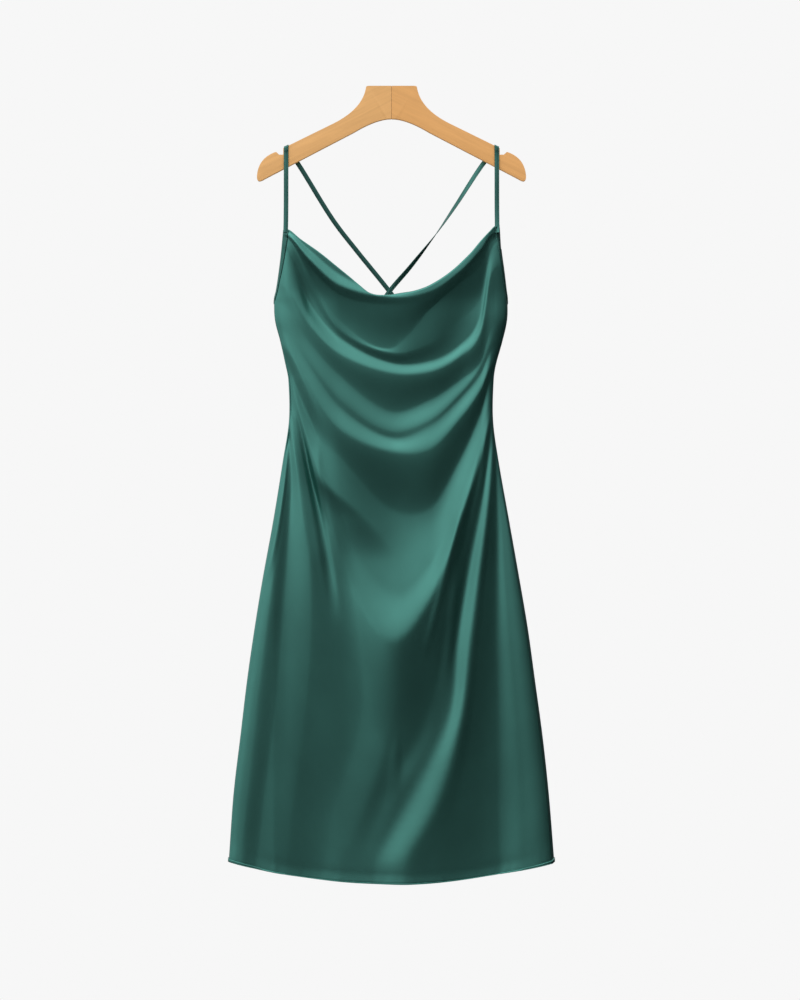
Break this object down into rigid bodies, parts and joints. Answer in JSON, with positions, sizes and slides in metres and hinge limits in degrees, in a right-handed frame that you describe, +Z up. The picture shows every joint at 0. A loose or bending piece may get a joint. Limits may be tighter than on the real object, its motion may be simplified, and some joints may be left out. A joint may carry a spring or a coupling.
{
  "type": "slip dress on a hanger",
  "caption": "Sleeveless satin slip dress with a draped cowl neckline, crossed back straps and a flared hem, hanging from a flat wooden hanger.",
  "frame": {"origin": "middle of the flat top of the hanger's neck, where a hook holds it", "axes": "+Z up, +X to the right of someone who faces the dress's front, front towards -Y"},
  "size_m": [0.52, 0.0708, 1.273],
  "materials": {
    "satin": "glossy dark green satin, fine warp-faced weave",
    "satin_binding": "narrow folded satin binding with an edge stitch",
    "satin_strap": "flat folded satin ribbon, stitched along its length",
    "hanger_wood": "light varnished hardwood, two glued halves"
  },
  "bodies": {
    "root": {"front_panel": "satin", "back_panel": "satin", "armhole_binding_left": "satin_binding", "armhole_binding_right": "satin_binding", "back_neck_binding": "satin_binding", "strap_left": "satin_strap", "strap_right": "satin_strap", "hanger": "hanger_wood"}
  },
  "joints": []
}
